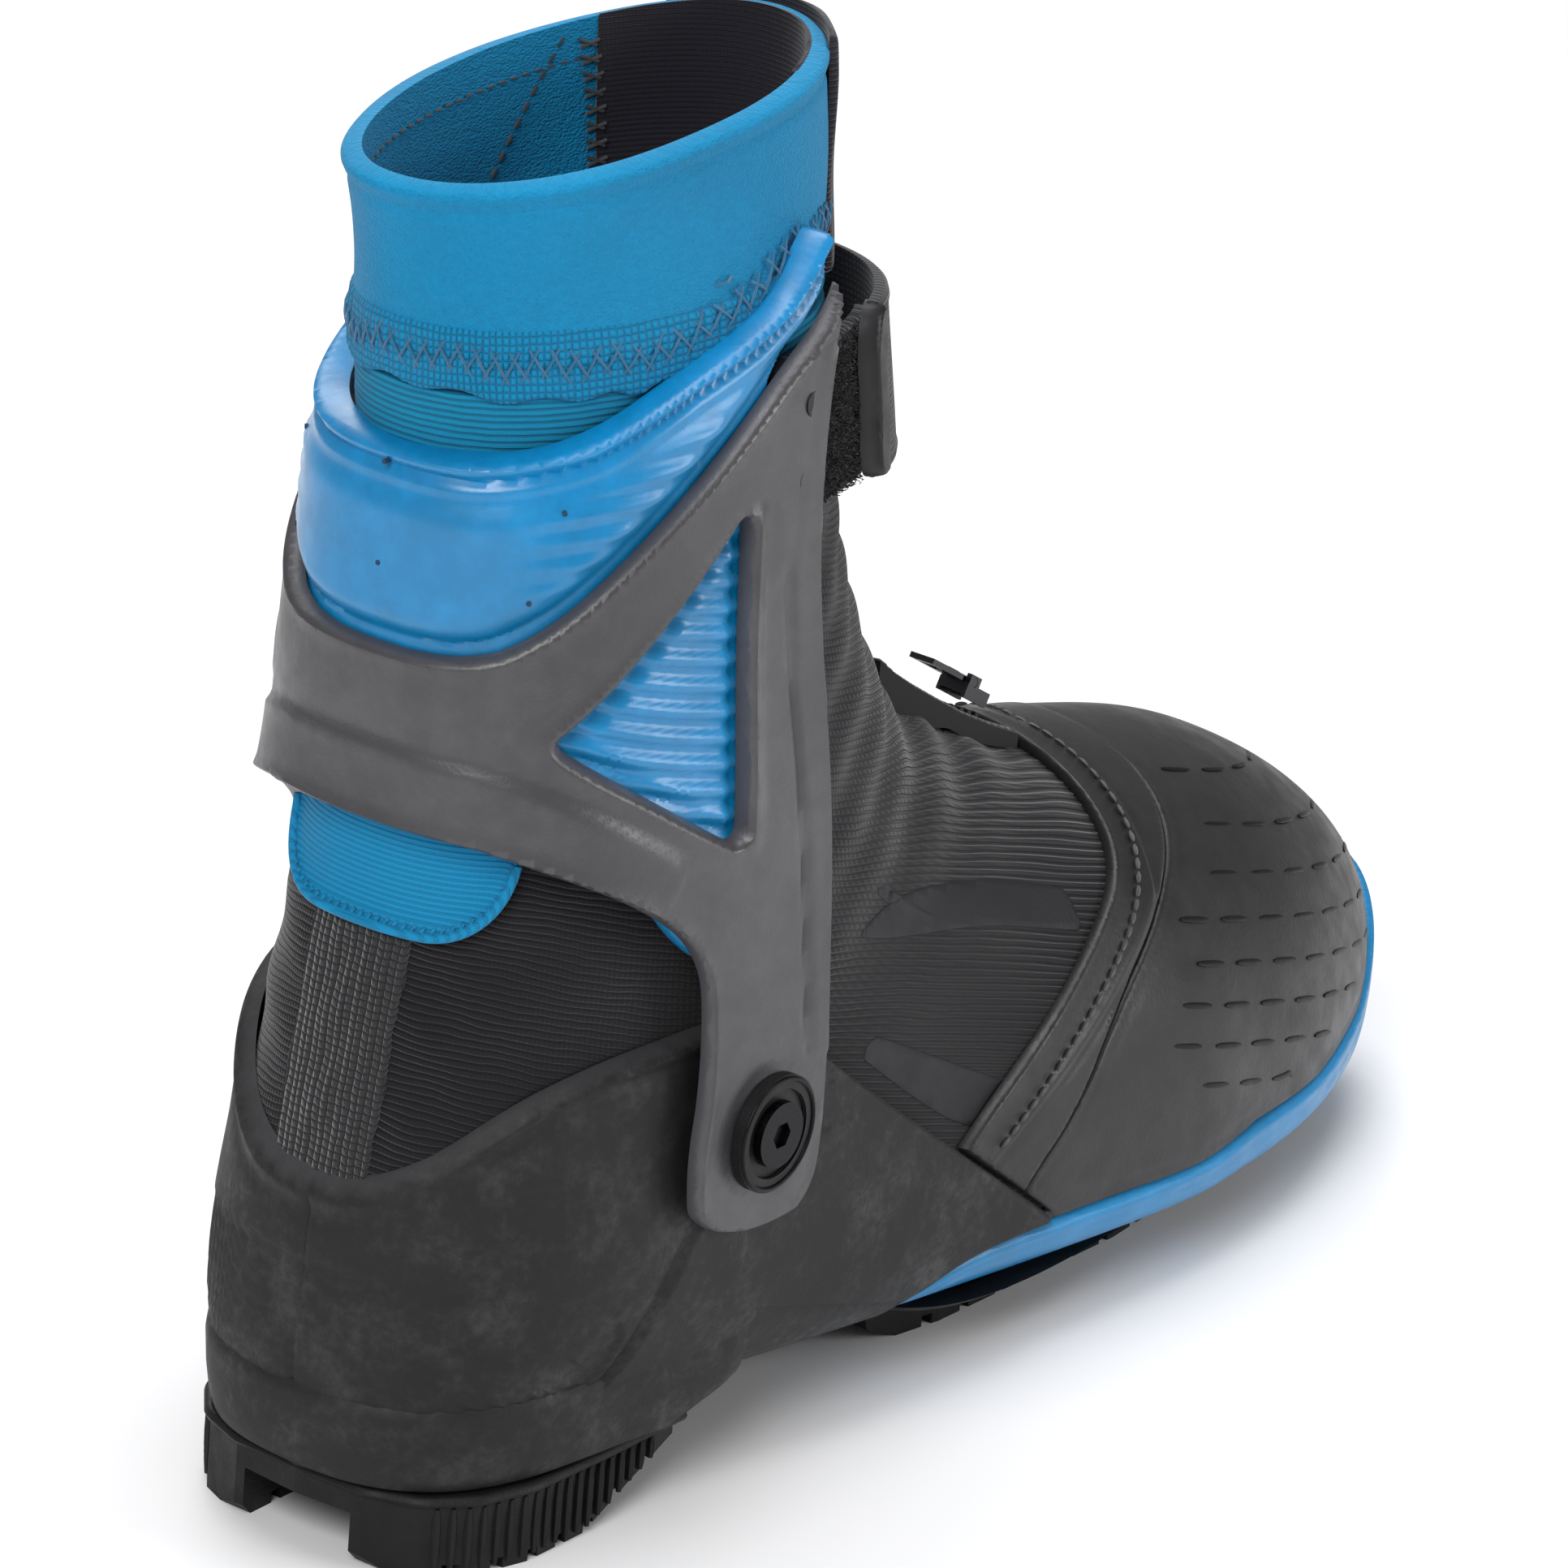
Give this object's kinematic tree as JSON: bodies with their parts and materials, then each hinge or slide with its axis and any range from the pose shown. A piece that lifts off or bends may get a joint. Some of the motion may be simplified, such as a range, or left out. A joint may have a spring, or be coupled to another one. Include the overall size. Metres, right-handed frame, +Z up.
{
  "type": "cross country boot",
  "caption": "Right-foot cross country skate boot with hinged cuff, stretch collar, strap, moulded heel chassis, rubber toe cap and a binding bar under the toe.",
  "frame": {"origin": "on the ground, below the middle of the boot's box", "axes": "+X to the toe, +Y to the inner side of the foot, +Z up"},
  "size_m": [0.2944, 0.0961, 0.2381],
  "materials": {
    "moulded_black": "mottled satin, heathered",
    "cuff_grey": "satin, mottled",
    "sole_rubber": "matte",
    "rand_blue": "satin",
    "upper_black": "fine ribs",
    "liner_grey": "brushed",
    "collar_blue": "neoprene knit",
    "band_turquoise": "fine ribbed knit",
    "pad_blue": "satin soft foam",
    "cap_black": "matte, raised dashes",
    "strip_grey": "coarse knit",
    "steel": "brushed",
    "hardware_black": "satin",
    "board_tan": "pressed board",
    "carbon": "woven",
    "foam_grey": "soft",
    "zip_steel": "dark",
    "nylon_white": "natural"
  },
  "bodies": {
    "boot": {"upper_foot": "upper_black", "liner_foot": "liner_grey", "heel_chassis": "moulded_black", "outsole_heel": "sole_rubber", "outsole_forefoot": "sole_rubber", "toe_rand": "rand_blue", "toe_bar_block": "hardware_black", "toe_bar": "steel", "toe_cap": "cap_black", "toe_cap_band": "cap_black", "shank_plate": "carbon", "insole_board": "board_tan", "footbed": "foam_grey", "toe_puff": "nylon_white", "tongue": "liner_grey", "heel_pads": "foam_grey", "heel_strip": "strip_grey", "heel_tab": "collar_blue", "pivot_nuts": "steel", "pivot_bushings": "nylon_white", "pivot_caps": "hardware_black", "pivot_screws": "steel", "zip_placket": "upper_black", "zip_teeth": "zip_steel"},
    "cuff": {"cuff_shell": "cuff_grey", "cuff_pad": "pad_blue", "upper_shaft": "upper_black", "liner_shaft": "liner_grey", "ankle_flex_fabric": "upper_black", "ankle_flex_liner": "liner_grey", "bootie_band": "band_turquoise", "collar_knit_band": "collar_blue", "collar_sock": "collar_blue", "collar_front_panel": "upper_black", "strap_loop_strip": "upper_black", "strap_anchor": "upper_black", "strap_rivets": "steel"},
    "strap": {"strap_band": "upper_black", "strap_tip": "hardware_black", "strap_hook_patch": "hardware_black"},
    "slider": {"zip_slider": "zip_steel"},
    "pull": {"zip_pull": "hardware_black"}
  },
  "joints": [
    {"name": "cuff_pivot", "type": "hinge", "parent": "boot", "child": "cuff", "pos_m": [-0.0836, 0.001, 0.069], "axis": [0, 1, 0], "range_deg": [-3, 15], "stiffness_Nm_per_rad": 12, "deforming": ["ankle_flex_fabric", "ankle_flex_liner"]},
    {"name": "strap_open", "type": "hinge", "parent": "cuff", "child": "strap", "pos_m": [-0.0522, 0.0317, 0.182], "axis": [0, -0.1148, 0.9934], "range_deg": [0, 105]},
    {"name": "zip_travel", "type": "slide", "parent": "boot", "child": "slider", "axis": [-0.8678, 0, 0.497], "range_m": [0, 0.034]},
    {"name": "zip_pull_hinge", "type": "hinge", "parent": "slider", "child": "pull", "pos_m": [0.03458, 0.006, 0.10034], "axis": [0, 1, 0], "range_deg": [0, 150]}
  ]
}
